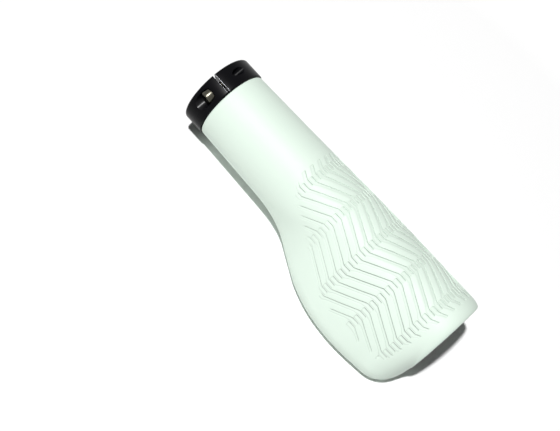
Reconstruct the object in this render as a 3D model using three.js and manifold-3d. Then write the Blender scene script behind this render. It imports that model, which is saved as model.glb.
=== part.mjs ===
// Ergonomic handlebar grip with a palm wing and one clamp ring, for the right hand.
//
// Millimetres. X runs along the handlebar from the clamp ring to the outer end, Z is up,
// and the palm wing reaches out to -Y. The bar's axis is y = 0, z = 0 while the pieces are
// made; the finished grip is then moved so that its origin is the middle of its underside.

import * as THREE from 'three';
import { mergeVertices } from 'three/addons/utils/BufferGeometryUtils.js';
import Module from 'manifold-3d';

const wasm = await Module();
wasm.setup();

// Driving dimensions: the whole grip and what it fits on
const gripLength = 139.6;
const barDiameter = 22.2;
const barClearance = 0.1;
const fitGap = 0.3;

// Driving dimensions: clamp ring and its screw
const ringDiameter = 34;
const ringWidth = 9.8;
const ringFrontChamfer = 1;
const ringBackChamfer = 0.35;
const slitWidth = 1;
const slitAngle = 26.5;
const shankDiameter = 3.9;
const shankChamfer = 0.5;
const headDiameter = 5.6;
const headLength = 3.2;
const headChamfer = 0.4;
const headSeat = 5;
const screwReach = 6.2;
const socketAcrossFlats = 2.5;
const socketDepth = 2.2;

// Driving dimensions: stiff core inside the rubber, keyed into the ring
const coreWall = 1.55;
const keyCount = 4;
const keyLength = 4;
const keyWidthAngle = 30;

// Driving dimensions: rubber sleeve, its section and its palm wing
const sleeveStep = 0.4;
const sleeveLip = 0.5;
const neckDiameter = 35;
const palmDiameter = 37.8;
const endDiameter = 38.6;
const neckStation = 45;
const palmStation = 90;
const palmLength = 93.6;
const palmReach = 32.6;
const wingEdgeRadius = 7;
const wingThinning = 30;
const crownRadius = 72;
const hollowRadius = 30;
const cornerLength = 12;
const cornerDepth = 14.4;
const endRounding = 5;
const endRimRounding = 1.6;
const endWingRounding = 4;

// The wing's outline in plan: share of the palm length against share of the reach
const wingOutline = [
  [0, 0],
  [0.18, 0],
  [0.288, 0.245],
  [0.405, 0.64],
  [0.544, 0.924],
  [0.705, 1],
  [0.855, 0.892],
  [1, 0.72],
];

// Driving dimensions: chevron tread, cut in as saw-tooth grooves. The first line lies treadFront
// round the sleeve from its top, on the side away from the wing.
const groovePitch = 4.25;
const grooveDepth = 0.4;
const grooveWall = 0.12;
const grooveCount = 21;
const treadFront = -44.25;
const treadLeadIn = 3.5;
const chevronCount = 4;
const chevronLength = 17.3;
const chevronShift = 7.3;
const fingerLength = 3.4;
const tailLength = 3.4;
const treadToEnd = 12.5;

// How far the tread stays in from the wing's rounded edge: at its start, at each row of corners,
// where the last fingers bend, and at its end
const treadInset = [23, 19.5, 13.9, 6.8, 5.8, 6.6, 9.5, 37];

// Driving dimensions: end cap
const capDiameter = 31;
const capRecess = 2.2;
const capWeb = 1.5;
const capSink = 0.2;
const capLipRounding = 0.8;
const skirtLength = 8;
const skirtWall = 1.5;
const discDiameter = 24;
const discThickness = 1;

// How finely round shapes are divided
const turnSides = 48;
const neckSides = 40;
const plainColumns = 18;
const smallSides = 24;

const boreRadius = barDiameter / 2 + barClearance;
const ringRadius = ringDiameter / 2;
const coreRadius = boreRadius + coreWall;
const sleeveBore = coreRadius + fitGap;
const sleeveStart = ringWidth + fitGap;
const capFace = gripLength - capSink;
const capBack = capFace - capRecess - capWeb;
const pocketFloor = capBack - fitGap;
const pocketRadius = capDiameter / 2 + fitGap;
const screwHeight = (boreRadius + ringRadius) / 2;
const screwHoleRadius = shankDiameter / 2 + fitGap;
const palmStart = gripLength - palmLength;

const { clamp, degToRad, smoothstep } = THREE.MathUtils;

// A smooth curve through a few stations, each a place and a value
function along(stations, place) {
  const last = stations.length - 1;
  const slopeAt = (k) => {
    const before = stations[Math.max(k - 1, 0)];
    const after = stations[Math.min(k + 1, last)];
    return (after[1] - before[1]) / (after[0] - before[0]);
  };
  let i = 0;
  while (i < last - 1 && place > stations[i + 1][0]) i += 1;
  const [x0, v0] = stations[i];
  const [x1, v1] = stations[i + 1];
  const span = x1 - x0;
  const t = clamp((place - x0) / span, 0, 1);
  const rise = t * t * (3 - 2 * t);
  const leave = t * (1 - t) * (1 - t) * span * slopeAt(i);
  const arrive = t * t * (t - 1) * span * slopeAt(i + 1);
  return v0 + (v1 - v0) * rise + leave + arrive;
}

// How far a quarter-round edge has fallen away at a share of its length
function roundOff(share) {
  const t = clamp(share, 0, 1);
  return 1 - Math.sqrt(1 - t * t);
}

// Sleeve section: a bar circle and a smaller wing-edge circle, joined by a crowned top and a
// hollow underside, all arcs that meet smoothly. Angles are taken from +Y, over the top.
function barCircleRadius(x) {
  const stations = [
    [ringWidth, ringRadius - sleeveStep],
    [neckStation, neckDiameter / 2],
    [palmStation, palmDiameter / 2],
    [gripLength, endDiameter / 2],
  ];
  return along(stations, x);
}

function tangentCentre(from, to, fromReach, toReach) {
  const line = to.clone().sub(from);
  const distance = line.length();
  const onLine = (fromReach ** 2 - toReach ** 2 + distance ** 2) / (2 * distance);
  const offLine = Math.sqrt(Math.max(fromReach ** 2 - onLine ** 2, 0));
  const unit = line.divideScalar(distance);
  const side = new THREE.Vector2(-unit.y, unit.x);
  return from.clone().addScaledVector(unit, onLine).addScaledVector(side, offLine);
}

function sectionArcs(x) {
  const fullTurn = 2 * Math.PI;
  const thin = smoothstep(x, palmStart, palmStart + wingThinning);
  const reachShare = along(wingOutline, (x - palmStart) / palmLength);
  const cornerFall = cornerDepth * roundOff((x - gripLength + cornerLength) / cornerLength);
  const endFall = roundOff((x - gripLength + endRounding) / endRounding);
  const barRadius = barCircleRadius(x);
  const edgeRadius = barRadius + (wingEdgeRadius - barRadius) * thin;
  const reach = barRadius + (palmReach - barRadius) * reachShare - cornerFall;
  const bar = new THREE.Vector2(0, 0);
  const edge = new THREE.Vector2(-Math.max(reach - edgeRadius, 0), edgeRadius - barRadius);
  const lipFall = sleeveLip * roundOff((sleeveStart + sleeveLip - x) / sleeveLip);
  const r = barRadius - endRimRounding * endFall - lipFall;
  const e = edgeRadius - endWingRounding * endFall * thin - lipFall;
  if (edge.length() <= r - e + 0.02) {
    return [{ centre: bar, radius: r, from: 0, to: fullTurn }];
  }
  const crown = tangentCentre(bar, edge, crownRadius - r, crownRadius - e);
  const hollow = tangentCentre(bar, edge, hollowRadius + r, hollowRadius + e);
  const heading = (a, b) => (Math.atan2(b.y - a.y, b.x - a.x) + fullTurn) % fullTurn;
  const crownFrom = heading(crown, bar);
  const crownTo = heading(crown, edge);
  const edgeTo = heading(edge, hollow);
  const barFrom = heading(bar, hollow);
  return [
    { centre: bar, radius: r, from: 0, to: crownFrom },
    { centre: crown, radius: crownRadius, from: crownFrom, to: crownTo },
    { centre: edge, radius: e, from: crownTo, to: edgeTo },
    { centre: hollow, radius: hollowRadius, from: edgeTo + Math.PI, to: barFrom + Math.PI },
    { centre: bar, radius: r, from: barFrom, to: fullTurn },
  ];
}

const arcLength = (arc) => Math.abs(arc.to - arc.from) * arc.radius;

function sectionGirth(arcs) {
  return arcs.reduce((sum, arc) => sum + arcLength(arc), 0);
}

// A point on the section at a distance round it, raised or sunk along its outward normal
function sectionPoint(arcs, x, around, height) {
  const girth = sectionGirth(arcs);
  let rest = ((around % girth) + girth) % girth;
  let i = 0;
  while (i < arcs.length - 1 && rest > arcLength(arcs[i])) {
    rest -= arcLength(arcs[i]);
    i += 1;
  }
  const arc = arcs[i];
  const inwards = arc.to < arc.from;
  const angle = arc.from + (inwards ? -1 : 1) * (rest / arc.radius);
  const radius = arc.radius + (inwards ? -height : height);
  return [x, arc.centre.x + radius * Math.cos(angle), arc.centre.y + radius * Math.sin(angle)];
}

// Tread: rows of corners, the shift of the lines at a place, and which of the two sets of
// lines is cut there. One set ends where the other starts, half a pitch away.
const lastRow = gripLength - treadToEnd;
const cornerRows = [];
for (let k = 0; k <= chevronCount; k += 1) {
  cornerRows.push(lastRow - (chevronCount - k) * chevronLength);
}
const treadStart = cornerRows[0] - treadLeadIn;
const lastBend = lastRow + fingerLength;
const treadEnd = lastBend + tailLength;

function lineShift(x) {
  const slope = chevronShift / (chevronLength - fingerLength);
  if (x < cornerRows[0]) return slope * (x - cornerRows[0]);
  let k = 0;
  while (k < chevronCount && x >= cornerRows[k + 1]) k += 1;
  const runStart = cornerRows[k] + fingerLength;
  const runLength = k < chevronCount ? cornerRows[k + 1] - runStart : tailLength;
  const full = k < chevronCount ? chevronShift : slope * tailLength;
  const moved = full * clamp((x - runStart) / runLength, 0, 1);
  return k % 2 === 0 ? -moved : moved - chevronShift;
}

function treadRows() {
  const rows = [];
  const add = (x, cut) => rows.push({ x, cut });
  const oneSet = (k) => [k % 2 === 0, k % 2 !== 0];
  add(treadStart - grooveWall, [false, false]);
  add(treadStart, oneSet(-1));
  for (let k = 0; k <= chevronCount; k += 1) {
    const start = cornerRows[k];
    const bend = start + fingerLength;
    add(start - grooveWall, oneSet(k - 1));
    add(start, [true, true]);
    add(bend, [true, true]);
    add(bend + grooveWall, oneSet(k));
    if (k === chevronCount) break;
    const run = cornerRows[k + 1] - bend;
    for (const share of [0.33, 0.67]) add(bend + run * share, oneSet(k));
  }
  add(treadEnd, oneSet(chevronCount));
  add(treadEnd + grooveWall, [false, false]);
  return rows;
}

function treadEdge(arcs, x) {
  const places = [treadStart, ...cornerRows, lastBend, treadEnd];
  let k = 0;
  while (k < places.length - 2 && x > places[k + 1]) k += 1;
  const share = clamp((x - places[k]) / (places[k + 1] - places[k]), 0, 1);
  const inset = treadInset[k] + (treadInset[k + 1] - treadInset[k]) * share;
  return arcLength(arcs[0]) + arcLength(arcs[1]) - inset;
}

// Loops of points round the sleeve. Each loop keeps how far round every point is, as a turn.
function plainLoop(x, sides) {
  const arcs = sectionArcs(x);
  const girth = sectionGirth(arcs);
  const loop = { points: [], turns: [] };
  for (let j = 0; j < sides; j += 1) {
    loop.points.push(sectionPoint(arcs, x, (girth * j) / sides, 0));
    loop.turns.push(j / sides);
  }
  return loop;
}

function circleLoop(x, radius, sides) {
  const loop = { points: [], turns: [] };
  for (let j = 0; j < sides; j += 1) {
    const angle = (2 * Math.PI * j) / sides;
    loop.points.push([x, radius * Math.cos(angle), radius * Math.sin(angle)]);
    loop.turns.push(j / sides);
  }
  return loop;
}

function treadLoop({ x, cut }) {
  const arcs = sectionArcs(x);
  const girth = sectionGirth(arcs);
  const edge = arcs.length > 1 ? treadEdge(arcs, x) : 0;
  const front = (arcs[0].radius * Math.PI) / 2 + treadFront;
  const start = front + lineShift(x);
  const loop = { points: [], turns: [] };
  const add = (around, height) => {
    loop.points.push(sectionPoint(arcs, x, around, height));
    loop.turns.push(around / girth);
  };
  for (let k = 0; k < grooveCount; k += 1) {
    for (const set of [0, 1]) {
      const line = start + (k + set / 2) * groovePitch;
      const inside = line > front && line < edge;
      add(line, 0);
      add(line + grooveWall, cut[set] && inside ? -grooveDepth : 0);
    }
  }
  const plainStart = start + grooveCount * groovePitch;
  const plainSpan = girth - grooveCount * groovePitch;
  for (let j = 0; j < plainColumns; j += 1) {
    add(plainStart + (plainSpan * j) / plainColumns, 0);
  }
  return loop;
}

// Skin between loops: equal loops are joined point for point, others in the order of turns
function skinGeometry(loops) {
  const positions = [];
  const triangles = [];
  const starts = loops.map((loop) => {
    const start = positions.length / 3;
    loop.points.forEach((point) => positions.push(...point));
    return start;
  });
  loops.forEach((loop, i) => {
    const nextIndex = (i + 1) % loops.length;
    const next = loops[nextIndex];
    const a = (k) => starts[i] + (k % loop.points.length);
    const b = (k) => starts[nextIndex] + (k % next.points.length);
    const turnOf = (owner, k) => {
      const count = owner.turns.length;
      return owner.turns[k % count] + Math.floor(k / count);
    };
    if (loop.points.length === next.points.length && loop.turns[0] * next.turns[0] >= 0) {
      for (let k = 0; k < loop.points.length; k += 1) {
        triangles.push(a(k), a(k + 1), b(k), a(k + 1), b(k + 1), b(k));
      }
      return;
    }
    let p = loop.turns.findIndex((turn) => turn >= 0);
    let q = next.turns.findIndex((turn) => turn >= 0);
    const pEnd = p + loop.points.length;
    const qEnd = q + next.points.length;
    while (p < pEnd || q < qEnd) {
      if (q >= qEnd || (p < pEnd && turnOf(loop, p + 1) <= turnOf(next, q + 1))) {
        triangles.push(a(p), a(p + 1), b(q));
        p += 1;
      } else {
        triangles.push(a(p), b(q + 1), b(q));
        q += 1;
      }
    }
  });
  const geometry = new THREE.BufferGeometry();
  geometry.setAttribute('position', new THREE.Float32BufferAttribute(positions, 3));
  geometry.setIndex(triangles);
  return facingOut(geometry);
}

function facingOut(geometry) {
  const position = geometry.getAttribute('position');
  const index = geometry.getIndex().array;
  const corner = (k) => new THREE.Vector3().fromBufferAttribute(position, index[k]);
  let volume = 0;
  for (let k = 0; k < index.length; k += 3) {
    volume += corner(k).dot(corner(k + 1).cross(corner(k + 2)));
  }
  if (volume < 0) {
    for (let k = 0; k < index.length; k += 3) {
      [index[k + 1], index[k + 2]] = [index[k + 2], index[k + 1]];
    }
  }
  geometry.computeVertexNormals();
  return geometry;
}

// A solid of revolution about X from a profile of radius and place pairs
function revolve(profile, sides) {
  const points = profile.map(([radius, x]) => new THREE.Vector2(radius, x));
  const onAxis = profile[0][0] === 0;
  if (!onAxis) points.push(points[0].clone());
  const geometry = new THREE.LatheGeometry(points, sides);
  geometry.rotateZ(-Math.PI / 2);
  return facingOut(welded(geometry));
}

function welded(geometry) {
  const bare = geometry.clone();
  bare.deleteAttribute('normal');
  bare.deleteAttribute('uv');
  const merged = mergeVertices(bare, 1e-4);
  const index = Array.from(merged.getIndex().array);
  const kept = [];
  for (let k = 0; k < index.length; k += 3) {
    const [a, b, c] = index.slice(k, k + 3);
    if (a !== b && b !== c && c !== a) kept.push(a, b, c);
  }
  merged.setIndex(kept);
  return merged;
}

function solidOf(geometry) {
  const closed = facingOut(welded(geometry));
  return new wasm.Manifold(new wasm.Mesh({
    numProp: 3,
    vertProperties: new Float32Array(closed.getAttribute('position').array),
    triVerts: new Uint32Array(closed.getIndex().array),
  }));
}

function geometryOf(solid) {
  const { vertProperties, triVerts } = solid.getMesh();
  const geometry = new THREE.BufferGeometry();
  geometry.setAttribute('position', new THREE.BufferAttribute(vertProperties, 3));
  geometry.setIndex(new THREE.BufferAttribute(triVerts, 1));
  geometry.computeVertexNormals();
  return geometry;
}

function cutAway(geometry, cutters) {
  const solid = cutters.reduce((left, cutter) => left.subtract(solidOf(cutter)), solidOf(geometry));
  return geometryOf(solid);
}

// Sectors of a tube between two radii, spread evenly round X and starting beside the slit
function keySectors(inner, outer, from, to, widthAngle) {
  const step = (2 * Math.PI) / (keyCount + 2);
  const half = degToRad(widthAngle) / 2;
  const sectors = [];
  for (let k = 0; k < keyCount; k += 1) {
    const middle = step * (k < keyCount / 2 ? k + 1 : k + 2);
    const shape = new THREE.Shape();
    shape.absarc(0, 0, outer, middle - half, middle + half, false);
    shape.absarc(0, 0, inner, middle + half, middle - half, true);
    const sector = new THREE.ExtrudeGeometry(shape, {
      depth: to - from,
      bevelEnabled: false,
      curveSegments: 4,
    });
    // The shape's angle 0 becomes +Z and grows towards -Y; its depth runs along X
    sector.rotateZ(Math.PI / 2);
    sector.rotateY(Math.PI / 2);
    sector.rotateX(Math.PI / 2);
    sector.translate(from, 0, 0);
    sectors.push(sector);
  }
  return sectors;
}

// Clamp ring: its slit is at the top here, and the screw crosses it parallel to Y
function clampRingGeometry() {
  const body = revolve([
    [boreRadius, 0],
    [ringRadius - ringFrontChamfer, 0],
    [ringRadius - ringFrontChamfer * 0.3, ringFrontChamfer * 0.3],
    [ringRadius, ringFrontChamfer],
    [ringRadius, ringWidth - ringBackChamfer],
    [ringRadius - ringBackChamfer, ringWidth],
    [boreRadius, ringWidth],
  ], turnSides);
  const slit = new THREE.BoxGeometry(2 * ringWidth, slitWidth, ringDiameter);
  slit.translate(ringWidth / 2, 0, ringDiameter / 2);
  const shankHole = new THREE.CylinderGeometry(
    screwHoleRadius, screwHoleRadius, ringDiameter, smallSides);
  shankHole.translate(ringWidth / 2, ringDiameter / 2 - headSeat, screwHeight);
  const headRadius = headDiameter / 2 + fitGap;
  const headHole = new THREE.CylinderGeometry(headRadius, headRadius, ringDiameter, smallSides);
  headHole.translate(ringWidth / 2, -ringDiameter / 2 - headSeat, screwHeight);
  const notchAngle = keyWidthAngle + (360 * fitGap) / (Math.PI * boreRadius);
  const notches = keySectors(
    boreRadius - fitGap, coreRadius + fitGap,
    ringWidth - keyLength - fitGap, ringWidth + fitGap, notchAngle);
  return cutAway(body, [slit, shankHole, headHole, ...notches]);
}

// Clamp screw along Y, in its place in the ring: head at -Y, hexagon socket facing out
function clampScrewGeometry() {
  const headEnd = headSeat + fitGap + headLength;
  const shankRadius = shankDiameter / 2;
  const headRadius = headDiameter / 2;
  const body = revolve([
    [0, -screwReach],
    [shankRadius - shankChamfer, -screwReach],
    [shankRadius, -screwReach + shankChamfer],
    [shankRadius, headSeat + fitGap],
    [headRadius, headSeat + fitGap],
    [headRadius, headEnd - headChamfer],
    [headRadius - headChamfer, headEnd],
    [0, headEnd],
  ], smallSides);
  body.rotateZ(-Math.PI / 2);
  const socketRadius = socketAcrossFlats / Math.sqrt(3);
  const socket = new THREE.CylinderGeometry(socketRadius, socketRadius, 2 * socketDepth, 6);
  socket.translate(0, -headEnd, 0);
  const geometry = cutAway(body, [socket]);
  geometry.translate(ringWidth / 2, 0, screwHeight);
  return geometry;
}

// Stiff core tube with keys that reach into the ring's notches
function coreTubeGeometry() {
  const tube = solidOf(revolve([
    [boreRadius, sleeveStart],
    [coreRadius, sleeveStart],
    [coreRadius, pocketFloor],
    [boreRadius, pocketFloor],
  ], turnSides));
  const root = sleeveStart + coreWall;
  const keys = keySectors(boreRadius, coreRadius, ringWidth - keyLength, root, keyWidthAngle);
  return geometryOf(keys.reduce((joined, key) => joined.add(solidOf(key)), tube));
}

function rubberSleeveGeometry() {
  const loops = [
    plainLoop(sleeveStart, neckSides),
    plainLoop(sleeveStart + sleeveLip, neckSides),
    plainLoop((sleeveStart + palmStart) / 2, neckSides),
    plainLoop(palmStart, neckSides),
    plainLoop((palmStart + treadStart) / 2, neckSides),
    ...treadRows().map(treadLoop),
  ];
  const roundFrom = treadEnd + 2 * grooveWall;
  for (const share of [0.35, 0.62, 0.82, 0.95, 1]) {
    loops.push(plainLoop(roundFrom + (gripLength - roundFrom) * share, turnSides));
  }
  loops.push(
    circleLoop(gripLength, pocketRadius, turnSides),
    circleLoop(pocketFloor, pocketRadius, turnSides),
    circleLoop(pocketFloor, sleeveBore, turnSides),
    circleLoop(sleeveStart, sleeveBore, turnSides),
  );
  return skinGeometry(loops);
}

function endCapGeometry() {
  const capRadius = capDiameter / 2;
  const lipInside = discDiameter / 2 + fitGap;
  const skirtRadius = boreRadius - fitGap;
  const skirtEnd = capBack - skirtLength;
  const floor = capFace - capRecess;
  return revolve([
    [0, floor],
    [lipInside, floor],
    [lipInside, capFace - capLipRounding / 2],
    [lipInside + capLipRounding / 2, capFace],
    [capRadius - capLipRounding, capFace],
    [capRadius - capLipRounding * 0.3, capFace - capLipRounding * 0.3],
    [capRadius, capFace - capLipRounding],
    [capRadius, capBack],
    [skirtRadius, capBack],
    [skirtRadius, skirtEnd + skirtWall / 2],
    [skirtRadius - skirtWall / 3, skirtEnd],
    [skirtRadius - skirtWall, skirtEnd],
    [skirtRadius - skirtWall, capBack],
    [0, capBack],
  ], turnSides);
}

function endCapDiscGeometry() {
  const back = capFace - capRecess + fitGap;
  return revolve([
    [0, back],
    [discDiameter / 2, back],
    [discDiameter / 2, back + discThickness],
    [0, back + discThickness],
  ], turnSides);
}

// Materials, with their finish from the real object
const finish = (color, roughness, metalness) =>
  new THREE.MeshStandardMaterial({ color, roughness, metalness });
const paleRubber = finish(0xdfece2, 0.55, 0);
const blackAnodised = finish(0x0c0c0e, 0.22, 0.7);
const platedSteel = finish(0xc8c8c4, 0.25, 1);
const blackNylon = finish(0x232326, 0.6, 0);
const capPlastic = finish(0x1d1d21, 0.42, 0);
const discPlastic = finish(0x6b6b74, 0.5, 0);

function piece(name, geometry, material) {
  const mesh = new THREE.Mesh(geometry, material);
  mesh.name = name;
  return mesh;
}

// The ring and what belongs to its clamp turn together, so that the slit faces the rider's thumb
const clampGroup = new THREE.Group();
clampGroup.rotation.x = degToRad(slitAngle);
clampGroup.add(
  piece('clamp_ring', clampRingGeometry(), blackAnodised),
  piece('clamp_screw', clampScrewGeometry(), platedSteel),
  piece('core_tube', coreTubeGeometry(), blackNylon),
);

const grip = new THREE.Group();
grip.add(
  clampGroup,
  piece('rubber_sleeve', rubberSleeveGeometry(), paleRubber),
  piece('end_cap', endCapGeometry(), capPlastic),
  piece('end_cap_disc', endCapDiscGeometry(), discPlastic),
);

// The origin is the middle of the box's underside
grip.updateMatrixWorld(true);
const box = new THREE.Box3().setFromObject(grip, true);
const middle = box.getCenter(new THREE.Vector3());
grip.position.set(-middle.x, -middle.y, -box.min.z);
grip.updateMatrixWorld(true);

export default grip;
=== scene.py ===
"""Looks of an ergonomic handlebar grip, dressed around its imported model.

The grip lies on its rubber sleeve. X runs along the handlebar from the clamp ring to the outer
end, Z is up, and the palm wing reaches out to -Y. All sizes are in metres. The pieces are made
about the bar's own axis, with x = 0 at the ring's inboard face, and are then put in their place.
"""

import math

import bmesh
import bpy
import numpy as np
from bpy.props import FloatProperty, FloatVectorProperty, IntProperty, PointerProperty
from bpy.types import Operator, Panel, PropertyGroup
from mathutils import Matrix, Vector


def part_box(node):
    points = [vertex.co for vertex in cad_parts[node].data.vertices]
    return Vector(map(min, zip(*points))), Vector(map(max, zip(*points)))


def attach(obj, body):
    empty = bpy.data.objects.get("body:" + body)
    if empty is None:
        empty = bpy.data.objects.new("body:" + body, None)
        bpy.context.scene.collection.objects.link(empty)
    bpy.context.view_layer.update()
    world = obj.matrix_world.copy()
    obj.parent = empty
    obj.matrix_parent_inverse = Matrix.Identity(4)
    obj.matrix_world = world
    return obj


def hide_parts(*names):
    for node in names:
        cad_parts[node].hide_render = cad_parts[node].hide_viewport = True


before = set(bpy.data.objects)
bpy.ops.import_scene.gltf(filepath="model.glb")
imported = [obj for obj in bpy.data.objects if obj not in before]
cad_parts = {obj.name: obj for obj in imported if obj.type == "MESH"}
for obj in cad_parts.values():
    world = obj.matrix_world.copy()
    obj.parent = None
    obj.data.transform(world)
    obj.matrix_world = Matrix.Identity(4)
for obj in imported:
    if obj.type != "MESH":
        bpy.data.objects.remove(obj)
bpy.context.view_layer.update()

bl_info = {
    "name": "Winged Handlebar Grip",
    "version": (1, 0, 0),
    "blender": (4, 5, 0),
    "location": "View3D > Sidebar > Grip",
    "description": "Dresses a winged handlebar grip: rubber sleeve, clamp ring, screw, core and end cap",
    "category": "Object",
}

MM = 0.001
BODY = "root"
RING_LOW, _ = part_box("clamp_ring")
_, SLEEVE_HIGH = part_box("rubber_sleeve")
DISC_LOW, DISC_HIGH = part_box("end_cap_disc")
_, CORE_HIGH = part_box("core_tube")
INBOARD_X = RING_LOW.x
BAR_Y = (DISC_LOW.y + DISC_HIGH.y) / 2
BAR_Z = (DISC_LOW.z + DISC_HIGH.z) / 2
GRIP_LENGTH = SLEEVE_HIGH.x - INBOARD_X
FULL_TURN = 2 * math.pi
ON_AXIS = 1e-9


def length(name, description, default):
    """A size that a user may change, in metres."""
    return FloatProperty(
        name=name,
        description=description,
        default=default,
        min=0.0,
        unit="LENGTH",
        precision=5,
    )


def tint(name, description, default):
    """A linear colour that a user may change."""
    return FloatVectorProperty(
        name=name,
        description=description,
        default=default,
        size=3,
        min=0.0,
        max=1.0,
        subtype="COLOR",
    )


class SleeveSizes(PropertyGroup):
    """The rubber sleeve's section, palm wing and chevron tread."""

    start_gap: length("Ring gap", "Gap between ring and sleeve", 0.3 * MM)
    start_diameter: length("Start diameter", "Across the sleeve beside the ring", 33.2 * MM)
    neck_diameter: length("Neck diameter", "Across the plain neck", 35.0 * MM)
    neck_station: length("Neck station", "Where the neck is measured", 45.0 * MM)
    palm_diameter: length("Palm diameter", "Across the barrel at the palm", 37.8 * MM)
    palm_station: length("Palm station", "Where the palm is measured", 90.0 * MM)
    end_diameter: length("End diameter", "Across the barrel at the outer end", 38.6 * MM)
    palm_length: length("Palm length", "Length of the winged part", 93.6 * MM)
    palm_reach: length("Palm reach", "Bar axis to the wing's edge", 32.6 * MM)
    edge_radius: length("Wing edge radius", "Radius of the wing's rounded edge", 7.0 * MM)
    thinning: length("Wing thinning", "Length over which the edge thins", 30.0 * MM)
    crown_radius: length("Crown radius", "Arc of the wing's top", 72.0 * MM)
    hollow_radius: length("Hollow radius", "Arc of the wing's underside", 30.0 * MM)
    corner_length: length("Corner length", "Length of the wing's outer corner", 12.0 * MM)
    corner_depth: length("Corner depth", "How far the corner falls back", 14.4 * MM)
    end_rounding: length("End rounding", "Length of the end's rounding", 5.0 * MM)
    rim_rounding: length("Rim rounding", "Fall of the rim at the end", 1.6 * MM)
    wing_rounding: length("Wing end rounding", "Fall of the wing at the end", 4.0 * MM)
    lip: length("Lip", "Rounding beside the ring", 0.5 * MM)
    skin: length("Skin", "How far the surface stays inside the solid's", 0.04 * MM)
    pitch: length("Groove pitch", "Distance between lines of one set", 4.25 * MM)
    depth: length("Groove depth", "Depth at the groove's sharp wall", 0.4 * MM)
    back_depth: length("Back depth", "Depth of the runs behind the sleeve's top", 0.75 * MM)
    wall: length("Groove wall", "Width of the sharp wall", 0.12 * MM)
    ramp: length("Groove ramp", "Width of the ramp behind the wall", 1.4 * MM)
    finger_ramp: length("Finger ramp", "Width of the ramp between the fingers", 1.95 * MM)
    hook: length("Hook rounding", "Rounding of a groove's closed ends", 0.4 * MM)
    bend: length("Bend rounding", "Length over which a line bends", 0.45 * MM)
    tread_front: FloatProperty(
        name="Tread front",
        description="Distance of the first line from the sleeve's top, round the sleeve",
        default=-44.25 * MM,
        unit="LENGTH",
    )
    grooves: IntProperty(name="Grooves", description="Lines in one set", default=21)
    chevron: length("Chevron length", "Distance between rows of corners", 17.3 * MM)
    lead_in: length("Lead-in", "Tread before the first row of corners", 3.5 * MM)
    shift: length("Chevron shift", "How far the lines move round", 7.3 * MM)
    finger: length("Finger length", "Straight start of each line", 3.4 * MM)
    tail: length("Tail length", "Straight end of the last lines", 3.4 * MM)
    tread_to_end: length("Tread to end", "Last row of corners to the end", 12.5 * MM)
    bore: length("Bore radius", "Radius inside the sleeve", 13.05 * MM)
    pocket: length("Pocket radius", "Radius of the end cap's pocket", 15.8 * MM)
    rubber: tint("Rubber", "Colour of the rubber", (0.725, 0.842, 0.748))


class ClampSizes(PropertyGroup):
    """The split clamp ring, its screw and the keyed core tube."""

    diameter: length("Ring diameter", "Across the clamp ring", 34.0 * MM)
    width: length("Ring width", "Along the bar, up to the sleeve's gap", 9.8 * MM)
    front_chamfer: length("Inboard edge", "Rounding of the inboard edge", 1.0 * MM)
    back_chamfer: length("Outboard edge", "Rounding beside the sleeve", 0.35 * MM)
    bore: length("Bore radius", "Radius that fits the bar", 11.2 * MM)
    slit: length("Slit width", "Gap that the screw closes", 1.0 * MM)
    slit_chamfer: length("Slit chamfer", "Bare edge along the slit", 0.13 * MM)
    slit_angle: FloatProperty(
        name="Slit angle",
        description="Turn of the slit from the top towards the wing",
        default=math.radians(26.5),
        subtype="ANGLE",
    )
    shank: length("Shank diameter", "Across the screw's thread", 3.9 * MM)
    thread_pitch: length("Thread pitch", "Distance between threads", 0.7 * MM)
    thread_depth: length("Thread depth", "Depth of the thread", 0.38 * MM)
    head: length("Head diameter", "Across the screw's head", 5.6 * MM)
    head_length: length("Head length", "Length of the head", 3.2 * MM)
    head_seat: length("Head seat", "Slit's middle to the head's seat", 5.0 * MM)
    reach: length("Screw reach", "Slit's middle to the screw's tip", 6.2 * MM)
    fit_gap: length("Fit gap", "Gap round the screw's head", 0.3 * MM)
    socket: length("Socket", "Hexagon socket across its flats", 2.5 * MM)
    socket_depth: length("Socket depth", "Depth of the hexagon socket", 2.2 * MM)
    core_radius: length("Core radius", "Outside of the core tube", 12.75 * MM)
    key_length: length("Key length", "How far the keys reach in", 4.0 * MM)
    key_angle: FloatProperty(
        name="Key width",
        description="Width of each key round the bar",
        default=math.radians(30),
        subtype="ANGLE",
    )
    ring_black: tint("Ring", "Colour of the anodised ring", (0.0012, 0.0012, 0.0018))
    bare_metal: tint("Bare metal", "Colour where the metal is cut", (0.70, 0.71, 0.74))
    steel: tint("Screw", "Colour of the plated screw", (0.075, 0.072, 0.058))
    nylon: tint("Core", "Colour of the core tube", (0.018, 0.018, 0.020))


class CapSizes(PropertyGroup):
    """The end cap and the disc in it."""

    diameter: length("Cap diameter", "Across the cap's lip", 31.0 * MM)
    sink: length("Cap sink", "How far the cap sits below the rubber", 0.2 * MM)
    recess: length("Recess", "Depth of the disc's seat", 2.2 * MM)
    web: length("Web", "Thickness behind the recess", 1.5 * MM)
    lip_rounding: length("Lip rounding", "Rounding of the cap's lip", 0.8 * MM)
    skirt_length: length("Skirt length", "How far the plug reaches in", 8.0 * MM)
    skirt_wall: length("Skirt wall", "Thickness of the plug's wall", 1.5 * MM)
    skirt_gap: length("Skirt gap", "Gap between the plug and the bore", 0.3 * MM)
    disc: length("Disc diameter", "Across the disc", 24.0 * MM)
    disc_gap: length("Disc gap", "Gap round the disc", 0.3 * MM)
    disc_thickness: length("Disc thickness", "Thickness of the disc", 1.0 * MM)
    black: tint("Cap", "Colour of the cap", (0.022, 0.024, 0.023))
    grey: tint("Disc", "Colour of the disc", (0.150, 0.150, 0.172))


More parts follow.
